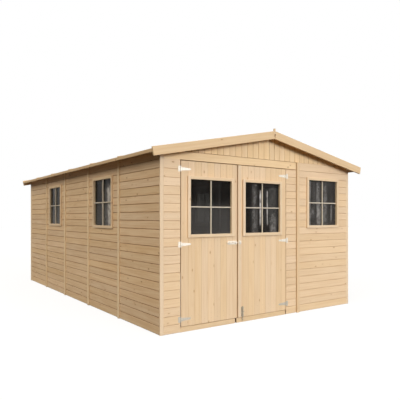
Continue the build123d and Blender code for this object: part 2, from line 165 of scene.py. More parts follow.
def softwood(name, pale, dark, knot, tone_range=0.08, streaks=0.5, knots=0.55, painted_shade=0.4):
    """Planed softwood. A board's mesh says which way its grain runs, where it is grooved, and its own
    chance numbers. A higher number for knots leaves fewer of them."""
    material, tree, shader = start_material(name)
    pale, dark, knot = linear(*pale), linear(*dark), linear(*knot)
    place = tree.node("TexCoord", out=3)
    run = tree.node("Attribute", {"attribute_name": "run"}, out=1)
    tone = tree.node("Attribute", {"attribute_name": "tone"}, out=1)
    shade_mask = tree.node("Attribute", {"attribute_name": "shade_mask"}, out=2)
    shifted = place.vector("ADD", tone.times(9.0))
    along = shifted.vector("DOT_PRODUCT", run, 1)

    def stretched(across_scale, along_scale):
        length = run.times(along * (along_scale - across_scale))
        return shifted.times(across_scale).vector("ADD", length)

    fine = stretched(240.0, 4.0).noise(detail=3.0, rough=0.65)
    middle = stretched(62.0, 1.5).noise()
    broad = stretched(15.0, 0.7).noise()
    rings = (broad * 34.0).math("SINE") * 0.5 + 0.5
    patch = place.times(2.3).noise()
    grain = fine * 0.45 + middle * 0.5 + rings * 0.2 + patch * 0.25 - 0.25
    knot_places = {"Vector": stretched(15.0, 7.0), "Scale": 1.0, "Randomness": 1.0}
    cells = tree.node("TexVoronoi", {"feature": "F1"}, knot_places)
    picked = tree.node("SeparateColor", (), {0: cells.other("Color")}).between(knots, knots + 0.01)
    heart = cells.between(0.13, 0.07) * picked
    halo = cells.between(0.30, 0.10) * picked
    tones = tree.node("SeparateXYZ", (), {0: tone})
    second = tones.other(1)

    share = (grain * streaks).between(0.02, 0.62)
    colour = tree.node("Mix", {"data_type": "RGBA"}, {0: share, 6: pale, 7: dark}, 2)
    level = tones * tone_range + (1.0 - tone_range * 0.6)
    green, blue = level * (1.0 - second * 0.03), level * (1.0 - second * 0.12)
    shade = tree.node("CombineColor", (), {0: level, 1: green, 2: blue})
    colour = colour.blend(shade, 1.0, "MULTIPLY")
    colour = colour.blend(dark, halo * 0.4)
    colour = colour.blend(knot, heart * 0.6)
    # painted shade: the marked vertices, in the grooves and at the sill's ends, blend towards the knot
    # colour
    colour = colour.blend(knot, shade_mask * painted_shade)
    colour.into(shader, "Base Color")
    (fine * 0.2 + 0.56).into(shader, "Roughness")
    height = fine * 0.6 + rings * 0.25 - heart * 0.4
    tree.node("Bump", (), {"Height": height, "Strength": 0.3, "Distance": 0.0008}).into(shader, "Normal")
    shader.inputs["Specular IOR Level"].default_value = 0.25
    return material


def plated_metal(name, colour, stain, roughness, metallic, ground_reflection=0.0):
    """Zinc plate with a faint cloudy stain. It may be darker low down, a painted reflection of the dark
    ground.
    """
    material, tree, shader = start_material(name)
    colour, stain = linear(*colour), linear(*stain)
    place = tree.node("TexCoord", out=3)
    cloud = place.noise(60.0, detail=4.0, rough=0.6)
    fleck = place.noise(420.0)
    share = (cloud * 0.7 + fleck * 0.3).between(0.38, 0.72)
    finish = tree.node("Mix", {"data_type": "RGBA"}, {0: share, 6: colour, 7: stain}, 2)
    low = tree.node("SeparateXYZ", (), {0: place}).other(2).between(0.60, 0.20)
    # painted reflection: darker grey-brown towards the bottom
    finish.blend(linear(150, 142, 126), low * ground_reflection).into(shader, "Base Color")
    (share * 0.2 + roughness).into(shader, "Roughness")
    tree.node("Bump", (), {"Height": fleck, "Strength": 0.15, "Distance": 0.0004}).into(shader, "Normal")
    shader.inputs["Metallic"].default_value = metallic
    return material


# Painted reflections, upright gleams on the glass of the right door, the front window and the near side
# windows:
# axis, middle, half width, foot, head and strength
PAINTED_GLEAMS = (
    (0, -0.219, 0.062, 0.90, 1.66, 0.15), (0, -0.130, 0.020, 1.09, 1.54, 0.95),
    (0, -0.019, 0.017, 1.09, 1.54, 0.60), (0, 0.070, 0.090, 0.90, 1.66, 0.08),
    (0, 0.077, 0.070, 0.90, 1.28, 0.15),
    (0, 0.738, 0.018, 1.06, 1.70, 0.22), (0, 0.900, 0.060, 1.06, 1.74, 0.15),
    (0, 0.902, 0.052, 1.06, 1.42, 0.16), (0, 0.785, 0.060, 1.16, 1.37, 0.20),
    (0, 1.036, 0.070, 1.06, 1.74, 0.15), (0, 1.159, 0.018, 1.14, 1.40, 0.14),
    (1, -1.160, 0.075, 1.04, 1.63, 0.74), (1, -1.145, 0.095, 1.36, 1.66, 0.60),
    (1, -1.095, 0.150, 1.04, 1.64, 0.10),
)


def sheet_glass(name):
    """Dark window glass with a diffuse layer of painted reflection: lighter low down on the left, faint
    streaks, a few upright gleams.
    """
    material, tree, shader = start_material(name)
    place = tree.node("TexCoord", out=3)
    axes = tree.node("SeparateXYZ", (), {0: place})
    height = axes.other(2)
    streak = place.vector("MULTIPLY", (17.0, 11.0, 1.5)).noise()
    cloud = place.vector("MULTIPLY", (3.0, 2.1, 5.0)).noise()
    lively = axes.between(-0.20, 0.50, 0.14, 1.0)
    painted_reflection = streak.between(0.45, 0.70) * cloud.between(0.28, 0.56, 0.3, 1.0) * lively * 0.12
    low_reflection = height.between(1.42, 1.26) * axes.between(-0.45, -0.58, 0.15, 1.0)
    painted_reflection = painted_reflection + low_reflection * 0.064 + axes.between(0.40, 0.70) * 0.04 + 0.0125
    mottle = place.noise(21.0).between(0.32, 0.66, 0.45, 1.25)
    for axis, middle, half, foot, head, strength in PAINTED_GLEAMS:
        soft = 0.05 if half < 0.03 else 0.13
        across = (axes.other(axis) - middle).math("ABSOLUTE").between(half, half * 0.1, 0.0, strength)
        painted_reflection = painted_reflection + across * mottle * height.between(head, head - soft) * height.between(foot, foot + soft)
    painted_reflection = painted_reflection.math("MINIMUM", 1.0)
    (painted_reflection * 0.2 + 0.01).into(shader, "Roughness")
    shader.inputs["Base Color"].default_value = (0.13, 0.128, 0.12, 1.0)
    shader.inputs["Transmission Weight"].default_value = 1.0
    shader.inputs["IOR"].default_value = 1.09
    # the diffuse layer shows the painted reflection where the mask above is high
    reflection_layer = tree.node("BsdfDiffuse", (), {"Color": (0.59, 0.567, 0.552, 1)})
    both = tree.node("MixShader", (), {0: painted_reflection, 1: Sock(tree.tree, shader.outputs[0]), 2: reflection_layer})
    both.into(material.node_tree.nodes["Material Output"], "Surface")
    return material


# painted_shade sets how far the marked grooves and ends are darkened, as painted shade
wall_wood = softwood("wall_boards_wood", (241, 215, 184), (223, 189, 149), (170, 122, 78), painted_shade=0.3)
# a paler, yellower copy of the wall wood: painted light on the gable and the header, which the roof's
# overhang shades
gable_lit_wood = softwood("gable_boards_lit_wood", (247, 219, 180), (231, 196, 148), (150, 103, 62), painted_shade=0.3)
# the side and back walls' boards have stronger painted shade in their grooves
side_wood = softwood("side_boards_wood", (241, 215, 184), (216, 179, 137), (140, 92, 52),
                     tone_range=0.11, streaks=0.62, knots=0.50, painted_shade=0.5)
door_wood = softwood("door_boards_wood", (240, 214, 182), (224, 190, 150), (182, 136, 90),
                     tone_range=0.07, knots=0.6, painted_shade=0.3)
# a paler copy of the wood: painted light on the side walls' cover strips
strip_lit_wood = softwood("cover_strip_lit_wood", (246, 223, 191), (232, 203, 164), (170, 122, 78),
                      tone_range=0.05, streaks=0.42, knots=0.75)
trim_wood = softwood("planed_trim_wood", (237, 214, 186), (223, 192, 156), (170, 122, 78),
                     tone_range=0.06, streaks=0.42, knots=0.75)
barge_wood = softwood("bargeboard_wood", (234, 207, 172), (219, 185, 143), (160, 112, 68),
                      tone_range=0.05, knots=0.7)
bar_wood = softwood("glazing_bar_wood", (224, 214, 200), (207, 194, 178), (160, 132, 104),
                    tone_range=0.05, streaks=0.4, knots=0.9)
roof_wood = softwood("roof_boards_wood", (234, 202, 156), (211, 171, 122), (140, 94, 52), painted_shade=0.3)
sill_wood = softwood("sill_timber_wood", (232, 206, 172), (216, 183, 142), (118, 82, 44),
                     tone_range=0.05, knots=0.8, painted_shade=0.8)
eave_wood = softwood("eave_board_wood", (218, 191, 156), (202, 168, 127), (140, 94, 52),
                     tone_range=0.06, knots=0.7)
frame_wood = softwood("sawn_frame_wood", (226, 193, 150), (198, 156, 108), (128, 84, 48),
                      tone_range=0.16, streaks=0.65)
bright_zinc = plated_metal("bright_zinc", (236, 228, 216), (208, 200, 186), 0.42, 0.35, ground_reflection=0.55)
dull_zinc = plated_metal("dull_zinc", (184, 174, 156), (146, 136, 120), 0.45, 0.35)
nail_zinc = plated_metal("nail_zinc", (206, 186, 156), (180, 160, 130), 0.5, 0.2)
window_glass = sheet_glass("window_glass")


# Modelling tools

def only(*objects):
    """Selects just these objects, the first one active."""
    bpy.ops.object.select_all(action="DESELECT")
    for o in objects:
        o.select_set(True)
    bpy.context.view_layer.objects.active = objects[0]


def apply_modifiers(o):
    only(o)
    for name in [m.name for m in o.modifiers]:
        bpy.ops.object.modifier_apply(modifier=name)


def settle(o):
    """Takes the object's own place, turn and size into its mesh."""
    only(o)
    bpy.ops.object.transform_apply(location=True, rotation=True, scale=True)
    return o


def cube(low, high):
    """A cube primitive from one corner to the other, with its place in its mesh."""
    bpy.ops.object.select_all(action="DESELECT")
    bpy.ops.mesh.primitive_cube_add(size=1.0)
    o = bpy.context.object
    low, high = Vector(low), Vector(high)
    o.scale = high - low
    o.location = (low + high) / 2
    return settle(o)


def pick(o, kind, test):
    """Goes into edit mode with the edges or faces selected whose corners all pass the test."""
    only(o)
    bpy.ops.object.mode_set(mode="EDIT")
    bpy.ops.mesh.select_mode(type=kind)
    bpy.ops.mesh.select_all(action="DESELECT")
    bpy.ops.object.mode_set(mode="OBJECT")
    for item in (o.data.edges if kind == "EDGE" else o.data.polygons):
        item.select = test(*[o.data.vertices[v].co for v in item.vertices])
    bpy.ops.object.mode_set(mode="EDIT")


def bisected(o, point, normal):
    """Cuts away the side that the normal points to and closes the cut."""
    only(o)
    bpy.ops.object.mode_set(mode="EDIT")
    bpy.ops.mesh.select_all(action="SELECT")
    bpy.ops.mesh.bisect(plane_co=point, plane_no=normal, use_fill=True, clear_outer=True)
    bpy.ops.object.mode_set(mode="OBJECT")
    return o


def mark(o, run, count=1):
    """Writes which way the grain runs, and three chance numbers for each of count like boards."""
    total = len(o.data.vertices)
    runs = np.tile(np.array(run, np.float32), (total, 1))
    tones = np.repeat(chance.random((count, 3)).astype(np.float32), total // count, axis=0)
    for name, values in (("run", runs), ("tone", tones)):
        attribute = o.data.attributes.new(name, "FLOAT_VECTOR", "POINT")
        attribute.data.foreach_set("vector", values.ravel())
    return o


def turn_grain(o, matrix):
    """Turns the grain with the piece."""
    attribute = o.data.attributes.get("run")
    if attribute:
        values = np.empty(len(o.data.vertices) * 3, np.float32)
        attribute.data.foreach_get("vector", values)
        turned = values.reshape(-1, 3) @ np.array(matrix.to_3x3(), np.float32).T
        attribute.data.foreach_set("vector", np.ascontiguousarray(turned).ravel())
    return o


AXES = ((1, 0, 0), (0, 1, 0), (0, 0, 1))


def timber(low, high, run, ease=SAWN_EASE):
    """One planed length of wood with eased edges."""
    o = cube(low, high)
    soft = o.modifiers.new("ease", "BEVEL")
    soft.width = ease
    soft.segments = 2
    soft.limit_method = "ANGLE"
    apply_modifiers(o)
    return mark(o, AXES[run])


def matchboards(low, high, run, step, count, faces, cuts):
    """Like boards side by side, their edges cut back along the joints on the faces, which are given as
    (axis, place, way in). The two cuts, (along the face, into the board), are those on the near and the far
    side of the step."""
    o = cube(low, high)
    way = max(range(3), key=lambda a: abs(step[a]))

    def long_edge(level, axis, place):
        def test(a, b):
            return abs(a[run] - b[run]) > 1e-6 and all(
                abs(v[way] - level) < 1e-5 and abs(v[axis] - place) < 1e-5 for v in (a, b))
        return test

    for side, (along, into) in zip((low, high), cuts):
        for axis, place, way_in in faces:
            pick(o, "EDGE", long_edge(side[way], axis, place))
            bpy.ops.mesh.bevel(offset=along, offset_type="OFFSET", segments=1, affect="EDGES")
            bpy.ops.object.mode_set(mode="OBJECT")
            pick(o, "EDGE", long_edge(side[way], axis, place + way_in * along))
            deeper = [0, 0, 0]
            deeper[axis] = way_in * (into - along)
            bpy.ops.transform.translate(value=deeper)
            bpy.ops.object.mode_set(mode="OBJECT")
    # the vertices in the cuts are marked for painted shade in the grooves
    deep = o.data.attributes.new("shade_mask", "FLOAT", "POINT")
    deepest = max(into for _, into in cuts)
    for vertex, item in zip(o.data.vertices, deep.data):
        gap = min(abs(vertex.co[axis] - place) for axis, place, _ in faces)
        item.value = 1.0 if 1e-4 < gap < deepest + 1e-4 else 0.0
    if count > 1:
        rows = o.modifiers.new("rows", "ARRAY")
        rows.count = count
        rows.use_relative_offset = False
        rows.use_constant_offset = True
        rows.constant_offset_displace = step
        apply_modifiers(o)
    return mark(o, AXES[run], count)


def joined(name, pieces):
    only(*pieces)
    if len(pieces) > 1:
        bpy.ops.object.join()
    o = bpy.context.object
    o.name = name
    o.data.name = name
    return o


def dress(o, material):
    o.data.materials.clear()
    o.data.materials.append(material)
    return o


def fit(name, pieces, material, slot, body, *stood_for):
    """Joins the pieces into one, in its place and finish, on its body and instead of its CAD nodes."""
    o = dress(joined(name, pieces), material)
    o.location = (0, SHIFT_Y, 0)
    settle(o)
    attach(o, body)
    if stood_for:
        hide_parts(*stood_for)
    return o


def copied(o, move=(0, 0, 0), turn=0.0):
    """A copy with its own mesh, turned about the upright axis and then moved."""
    only(o)
    bpy.ops.object.duplicate(linked=False)
    c = bpy.context.object
    c.rotation_euler = (0, 0, turn)
    c.location = move
    return turn_grain(settle(c), Matrix.Rotation(turn, 4, "Z"))


def mirror_x(o):
    """A copy for the other side of the shed."""
    only(o)
    bpy.ops.object.duplicate(linked=False)
    c = bpy.context.object
    c.scale = (-1, 1, 1)
    settle(c)
    bpy.ops.object.mode_set(mode="EDIT")
    bpy.ops.mesh.select_all(action="SELECT")
    bpy.ops.mesh.normals_make_consistent(inside=False)
    bpy.ops.object.mode_set(mode="OBJECT")
    return turn_grain(c, Matrix.Scale(-1, 4, (1, 0, 0)))


# Wall boards

# The lower edge of a level board is undercut and throws a line of shade
BOARD_CUTS = ((0.0045, 0.0085), (0.0012, 0.0012))
SIDE_CUTS = ((0.0080, 0.0100), (0.0012, 0.0012))
TOP_CUTS = ((0.0045, 0.0085), (0.0040, 0.0060))
GABLE_CUTS = ((0.0035, 0.0065), (0.0035, 0.0065))
DOOR_CUTS = ((0.0016, 0.0024), (0.0016, 0.0024))
ROOF_CUTS = ((0.0025, 0.0025), (0.0025, 0.0025))
# courses up to the header's level, under a window and beside it
FULL_COURSES, UNDER_WINDOW, BESIDE_WINDOW = 20, 12, 6


def wall_run(u0, u1, z0, z1, wall, count=1, cuts=None):
    """Level boards from u0 to u1 along a wall, given as (axis of its length, place of its face, way out)."""
    axis, place, way = wall
    cuts = SIDE_CUTS if axis == 1 else cuts or BOARD_CUTS
    inner = place - way * BOARD_T
    low = [0, 0, z0]
    high = [0, 0, z1]
    low[axis], high[axis] = u0, u1
    other = 1 - axis
    low[other], high[other] = min(place, inner), max(place, inner)
    return matchboards(low, high, axis, (0, 0, z1 - z0), count, [(other, place, -way)], cuts)


def plain_panel(u0, u1, wall, top):
    """Like courses, then one up to the header's level, or one more course and a board up to the top."""
    last_z, full_z = (FULL_COURSES - 1) * COURSE, FULL_COURSES * COURSE
    boards = [wall_run(u0, u1, 0, COURSE, wall, FULL_COURSES - 1)]
    if top == HEADER_Z:
        boards.append(wall_run(u0, u1, last_z, top, wall))
    else:
        boards.append(wall_run(u0, u1, last_z, full_z, wall))
        boards.append(wall_run(u0, u1, full_z, top, wall, 1, TOP_CUTS))
    return boards


def window_panel(u0, u1, wall, top, centre, middle_z):
    """Full boards below and above the window, and short ones beside it."""
    a, b = centre - HOLE_W / 2, centre + HOLE_W / 2
    first_z, second_z = UNDER_WINDOW * COURSE, (UNDER_WINDOW + 1) * COURSE
    last_z, full_z = (UNDER_WINDOW + BESIDE_WINDOW) * COURSE, FULL_COURSES * COURSE
    over = middle_z + HOLE_H / 2
    boards = [wall_run(u0, u1, 0, COURSE, wall, UNDER_WINDOW)]
    for s, e in ((u0, a), (b, u1)):
        boards.append(wall_run(s, e, first_z, second_z, wall, BESIDE_WINDOW))
        boards.append(wall_run(s, e, last_z, over, wall))
    boards.append(wall_run(u0, u1, over, full_z, wall))
    boards.append(wall_run(u0, u1, full_z, top, wall, 1, TOP_CUTS))
    return boards


side_top = roof_under(HALF_W)
ends = [-END_Y] + JOINTS_Y + [BACK_CORNER_Y]
for side, way in (("left", -1), ("right", 1)):
    wall = (1, way * HALF_W, way)
    boards = []
    for k in range(5):
        y0, y1 = ends[k] + HALF_GAP, ends[k + 1] - HALF_GAP
        if k % 2:
            boards += window_panel(y0, y1, wall, side_top, SIDE_WINDOWS_Y[k // 2], SIDE_WINDOW_Z)
        else:
            boards += plain_panel(y0, y1, wall, side_top)
    fit(side + "_wall_boards", boards, side_wood, "boards", "shed",
        side + "_wall_panels", side + "_wall_window_panels")

front = (0, FACE, -1)
back = (0, HALF_L, 1)


def under_roof(o):
    """Cuts an end wall's boards to the slopes of the roof."""
    for way in (-1, 1):
        bisected(o, (0, 0, roof_under(0)), (way * math.sin(PITCH), 0, math.cos(PITCH)))
    return o


# The header and the right jamb's boards stop just short of the strip over the joint, which leaves a dark
# line, and a narrow board ends the right jamb under the header
SHORT_X = FRONT_JOINT_X - STRIP_W / 2 - 0.005
RIGHT_JAMB_X, RIGHT_JAMB_TOP = JAMB_R - 0.0045, HEADER_Z - 0.005
HEADER_FOOT, HEADER_TOP = HEADER_Z - 0.004, PLATE_Z - 0.003
boards = plain_panel(-INNER_X, JAMB_L, front, HEADER_Z)
fit("front_left_jamb_boards", boards, wall_wood, "boards", "shed", "front_left_jamb")
boards = plain_panel(RIGHT_JAMB_X, SHORT_X, front, RIGHT_JAMB_TOP)
fit("front_right_jamb_boards", boards, wall_wood, "boards", "shed", "front_right_jamb")
header = under_roof(wall_run(-INNER_X, SHORT_X, HEADER_FOOT, HEADER_TOP, front, 1, TOP_CUTS))
fit("front_header_board", [header], gable_lit_wood, "boards", "shed", "front_header")
boards = window_panel(FRONT_JOINT_X + HALF_GAP, INNER_X, front, PLATE_Z, *FRONT_WINDOW)
boards[-1] = under_roof(boards[-1])
fit("front_window_boards", boards, wall_wood, "boards", "shed", "front_window_panel")
boards = []
for x0, x1 in ((-BACK_INNER_X, -BACK_JOINT_X), (-BACK_JOINT_X, BACK_JOINT_X), (BACK_JOINT_X, BACK_INNER_X)):
    panel = plain_panel(x0 + HALF_GAP, x1 - HALF_GAP, back, PLATE_Z)
    panel[-1] = under_roof(panel[-1])
    boards += panel
fit("back_wall_boards", boards, side_wood, "boards", "shed", "back_wall_panels")

# Gable boards stand upright, as many on either side of one joint, and are cut to the slopes
GABLE_BOARD, GABLE_HALF_COUNT = 0.0869, 17
GABLE_JOINT_X, GABLE_UNCUT_Z = 0.0045, 2.25
for name, place, inner in (("front_gable", FACE, FACE + BOARD_T), ("back_gable", HALF_L, HALF_L - BOARD_T)):
    x0 = GABLE_JOINT_X - GABLE_HALF_COUNT * GABLE_BOARD
    low = (x0, min(place, inner), PLATE_Z)
    high = (x0 + GABLE_BOARD, max(place, inner), GABLE_UNCUT_Z)
    outer = (1, place, math.copysign(1, inner - place))
    upright = matchboards(low, high, 2, (GABLE_BOARD, 0, 0), 2 * GABLE_HALF_COUNT, [outer], GABLE_CUTS)
    fit(name + "_boards", [under_roof(upright)], gable_lit_wood, "boards", "shed", name)

# Strips over the corners and joints
corners = []
for x in (-HALF_W, HALF_W - CORNER_W):
    corners.append(timber((x, FACE, 0), (x + CORNER_W, FACE + BOARD_T, side_top), 2, TRIM_EASE))
for x in (-HALF_W, HALF_W - BOARD_T):
    corners.append(timber((x, BACK_CORNER_Y + HALF_GAP, 0), (x + BOARD_T, HALF_L, side_top), 2, TRIM_EASE))
fit("corner_battens", corners, trim_wood, "planed_trim", "shed", "corner_strips")
strips = []
strip_top = roof_under(HALF_W + STRIP_T)
for y in JOINTS_Y:
    y0, y1 = y - STRIP_W / 2, y + STRIP_W / 2
    for x in (-HALF_W - STRIP_T, HALF_W):
        strips.append(timber((x, y0, 0), (x + STRIP_T, y1, strip_top), 2, TRIM_EASE))
fit("side_wall_battens", strips, strip_lit_wood, "planed_trim", "shed", "wall_cover_strips")
strips = []
for x, y0, y1 in ((FRONT_JOINT_X, FACE - FRONT_STRIP_T, FACE), (BACK_JOINT_X, HALF_L, HALF_L + STRIP_T),
                  (-BACK_JOINT_X, HALF_L, HALF_L + STRIP_T)):
    strips.append(timber((x - STRIP_W / 2, y0, 0), (x + STRIP_W / 2, y1, PLATE_Z), 2, TRIM_EASE))
fit("end_wall_battens", strips, barge_wood, "planed_trim", "shed")

# The sill is in two lengths, and their ends are darkened as painted shade, for the dark gaps beside them
SILL_SPANS = ((JAMB_L + 0.001, -0.528), (-0.508, JAMB_R - 0.018))
SILL_TOP, SILL_EASE = 0.0525, 0.003
sills = []
for x0, x1 in SILL_SPANS:
    sill = timber((x0, FACE, 0), (x1, FACE + WALL_T, SILL_TOP), 0, SILL_EASE)
    end_shade = sill.data.attributes.new("shade_mask", "FLOAT", "POINT")
    for vertex, item in zip(sill.data.vertices, end_shade.data):
        item.value = 1.0 if min(abs(vertex.co.x - x0), abs(vertex.co.x - x1)) < 1e-5 else 0.0
    sills.append(sill)
fit("sill_timbers", sills, sill_wood, "sawn_frame", "shed", "door_sill")

# Posts and rails inside
POST_W, RAIL_H, MID_RAIL_Z = 0.070, 0.045, 0.985
SIDE_PLATE_Z, SIDE_PLATE_UNCUT_Z, END_PLATE_Z = 1.840, 1.90, 1.845
JAMB_CLEAR, JOINT_CLEAR = 0.002, 0.001
BEAM_W, BEAM_H = 0.045, 0.095
BEAM_Z = roof_under(0) - BEAM_H
frame_x = (-HALF_W + BOARD_T, -HALF_W + WALL_T)
frame_y = (FACE + BOARD_T, FACE + WALL_T)
back_y = (-frame_y[1], -frame_y[0])
edge = HALF_W - WALL_T - JOINT_CLEAR
spans = [(-END_Y, -END_Y + POST_W)]
spans += [(y - POST_W / 2, y + POST_W / 2) for y in JOINTS_Y]
spans.append((END_Y - POST_W, END_Y))
posts = []
for y0, y1 in spans:
    post = timber((frame_x[0], y0, RAIL_H), (frame_x[1], y1, SIDE_PLATE_Z), 2)
    posts += [post, mirror_x(post)]
# the stretches of the front frame: corner to door, door to joint, joint to corner
front_ends = [(-edge, JAMB_L - JAMB_CLEAR), (JAMB_R + JAMB_CLEAR, FRONT_JOINT_X - JOINT_CLEAR),
              (FRONT_JOINT_X + JOINT_CLEAR, edge)]
front_posts = []
for x0, x1 in front_ends:
    front_posts += [(x0, x0 + POST_W), (x1 - POST_W, x1)]
back_posts = [(-edge, -edge + POST_W)]
back_posts += [(x - POST_W / 2, x + POST_W / 2) for x in (-BACK_JOINT_X, BACK_JOINT_X)]
back_posts.append((edge - POST_W, edge))
for places, (y0, y1) in ((front_posts, frame_y), (back_posts, back_y)):
    for x0, x1 in places:
        posts.append(timber((x0, y0, RAIL_H), (x1, y1, END_PLATE_Z), 2))
for y0, y1 in (frame_y, back_y):
    posts.append(timber((-BEAM_W / 2, y0, END_PLATE_Z + RAIL_H), (BEAM_W / 2, y1, BEAM_Z), 2))
fit("post_timbers", posts, frame_wood, "sawn_frame", "shed", "wall_posts")

rails = []
frame_ends = [-END_Y] + JOINTS_Y + [END_Y]
for k in range(5):
    y0, y1 = frame_ends[k] + HALF_GAP, frame_ends[k + 1] - HALF_GAP
    for u0, u1, z in ((y0, y1, 0), (spans[k][1], spans[k + 1][0], MID_RAIL_Z)):
        rail = timber((frame_x[0], u0, z), (frame_x[1], u1, z + RAIL_H), 1)
        rails += [rail, mirror_x(rail)]
    plate = timber((frame_x[0], y0, SIDE_PLATE_Z), (frame_x[1], y1, SIDE_PLATE_UNCUT_Z), 1)
    bisected(plate, (0, 0, roof_under(0)), (-math.sin(PITCH), 0, math.cos(PITCH)))
    rails += [plate, mirror_x(plate)]


def end_rail(x0, x1, y, z):
    """A level rail of the front or back frame."""
    return timber((x0, y[0], z), (x1, y[1], z + RAIL_H), 0)


for x0, x1 in front_ends:
    rails.append(end_rail(x0, x1, frame_y, 0))
for x0, x1 in ((-edge, front_ends[1][1]), front_ends[2]):
    rails.append(end_rail(x0, x1, frame_y, END_PLATE_Z))
rails.append(end_rail(front_posts[4][1], front_posts[5][0], frame_y, MID_RAIL_Z))
back_ends = [-edge, -BACK_JOINT_X, BACK_JOINT_X, edge]
for k in range(3):
    x0, x1 = back_ends[k] + HALF_GAP, back_ends[k + 1] - HALF_GAP
    for z in (0, END_PLATE_Z):
        rails.append(end_rail(x0, x1, back_y, z))
    rails.append(end_rail(back_posts[k][1], back_posts[k + 1][0], back_y, MID_RAIL_Z))


def laid(o, x, z):
    """Lays a piece drawn along X on the left slope, its origin at x and z."""
    o.rotation_euler = (0, -PITCH, 0)
    o.location = (x, 0, z)
    return turn_grain(settle(o), Matrix.Rotation(-PITCH, 4, "Y"))


def sloped(length, y0, y1, depth, drop, start_x, ease=SAWN_EASE):
    """A timber along the left slope, its top drop below the roof's top, from start_x down to the left."""
    o = timber((-length, y0, -depth), (0, y1, 0), 0, ease)
    return laid(o, -start_x, RIDGE_Z - SLOPE * start_x - drop)


RAFTER_FOOT_Z = 1.900
rafter_x = BEAM_W / 2 + JOINT_CLEAR
rafter_end = (roof_under(0) - RAIL_H - RAFTER_FOOT_Z) / SLOPE
under = ROOF_T / math.cos(PITCH)
for y0, y1 in (frame_y, back_y):
    length = (rafter_end - rafter_x) / math.cos(PITCH)
    rafter = sloped(length, y0, y1, RAIL_H * math.cos(PITCH), under, rafter_x)
    rails += [rafter, mirror_x(rafter)]
fit("rail_timbers", rails, frame_wood, "sawn_frame", "shed", "wall_rails")


# Roof

ROOF_BOARDS, ROOF_PANELS = 18, 6
EAVE_BOARD_T, EAVE_BOARD_Z, EAVE_CLEAR = 0.016, (1.846, 1.882), 0.001
BEARER_W, BEARER_H = 0.045, 0.028
ROOF_STRIP_T, ROOF_STRIP_X = 0.020, (0.014, 1.632)
RIDGE_STRIP_W, RIDGE_STRIP_TOP, RIDGE_STRIP_SUNK = 0.026, 2.222, 0.003
RIDGE_BLOCK_W, RIDGE_BLOCK_Z = 0.021, (2.190, 2.258)


def roof_boards(side):
    """Boards along the ridge, on six panels, laid on the slope from the eave up."""
    length = (EAVE_X - EAVE_BOARD_T) / math.cos(PITCH) - EAVE_CLEAR
    width = length / ROOF_BOARDS
    faces = [(2, 0.0, -1), (2, -ROOF_T, 1)]
    panels = []
    stops = [ROOF_FRONT] + ROOF_JOINTS + [ROOF_BACK]
    for k in range(ROOF_PANELS):
        y0 = stops[k] + (HALF_GAP if k else 0)
        y1 = stops[k + 1] - (HALF_GAP if k < ROOF_PANELS - 1 else 0)
        low, high = (-length, y0, -ROOF_T), (-length + width, y1, 0)
        o = matchboards(low, high, 1, (width, 0, 0), ROOF_BOARDS, faces, ROOF_CUTS)
        panels.append(bisected(laid(o, -HALF_GAP, roof_top(HALF_GAP)), (-HALF_GAP, 0, 0), (1, 0, 0)))
    if side == "right":
        mirrored = [mirror_x(o) for o in panels]
        for o in panels:
            bpy.data.objects.remove(o)
        panels = mirrored
    return fit(side + "_roof_boards", panels, roof_wood, "boards", "shed", side + "_roof_panels")


roof_boards("left")
roof_boards("right")
beam = cube((-BEAM_W / 2, -END_Y, BEAM_Z), (BEAM_W / 2, END_Y, roof_under(0)))
mark(under_roof(beam), AXES[1])
fit("ridge_timber", [beam], frame_wood, "sawn_frame", "shed", "ridge_beam")
bearers = []
for y in ROOF_JOINTS:
    length = (edge - rafter_x) / math.cos(PITCH)
    y0, y1 = y - BEARER_W / 2, y + BEARER_W / 2
    bearer = sloped(length, y0, y1, BEARER_H * math.cos(PITCH), under, rafter_x)
    bearers += [bearer, mirror_x(bearer)]
fit("bearer_timbers", bearers, frame_wood, "sawn_frame", "shed", "roof_bearers")
battens = []
for y in ROOF_JOINTS:
    length = (ROOF_STRIP_X[1] - ROOF_STRIP_X[0]) / math.cos(PITCH)
    y0, y1 = y - STRIP_W / 2, y + STRIP_W / 2
    rise = ROOF_STRIP_T / math.cos(PITCH)
    batten = sloped(length, y0, y1, ROOF_STRIP_T, -rise, ROOF_STRIP_X[0], TRIM_EASE)
    battens += [batten, mirror_x(batten)]
fit("roof_battens", battens, eave_wood, "planed_trim", "shed", "roof_cover_strips")
low = (-RIDGE_STRIP_W / 2, ROOF_FRONT, RIDGE_Z - RIDGE_STRIP_SUNK)
ridge = [timber(low, (RIDGE_STRIP_W / 2, ROOF_BACK, RIDGE_STRIP_TOP), 1, TRIM_EASE)]
for y0 in (ROOF_FRONT - BARGE_T, ROOF_BACK):
    low = (-RIDGE_BLOCK_W / 2, y0, RIDGE_BLOCK_Z[0])
    ridge.append(timber(low, (RIDGE_BLOCK_W / 2, y0 + BARGE_T, RIDGE_BLOCK_Z[1]), 2, TRIM_EASE))
fit("ridge_batten", ridge, trim_wood, "planed_trim", "shed", "ridge_strip")
high = (-EAVE_X + EAVE_BOARD_T, ROOF_BACK, EAVE_BOARD_Z[1])
eave = timber((-EAVE_X, ROOF_FRONT, EAVE_BOARD_Z[0]), high, 1, TRIM_EASE)
fit("eave_strips", [eave, mirror_x(eave)], eave_wood, "planed_trim", "shed", "eave_boards")
for end, y0 in (("front", ROOF_FRONT - BARGE_T), ("back", ROOF_BACK)):
    # cut square at both ends, with the lower corners meeting under the ridge
    start = HALF_GAP + BARGE_H * math.sin(PITCH)
    length = (EAVE_X - start) / math.cos(PITCH)
    barge = sloped(length, y0, y0 + BARGE_T, BARGE_H, -BARGE_RISE, start, TRIM_EASE)
    fit(end + "_barges", [barge, mirror_x(barge)], barge_wood, "planed_trim", "shed", end + "_bargeboards")


# Windows

CASING_EASE, LINER_EASE = 0.0025, 0.001
BAR_W, BAR_BACK_T, PANE_CLEAR = 0.012, 0.009, 0.0002
BAR_T, SIDE_BAR_T = 0.011, 0.019


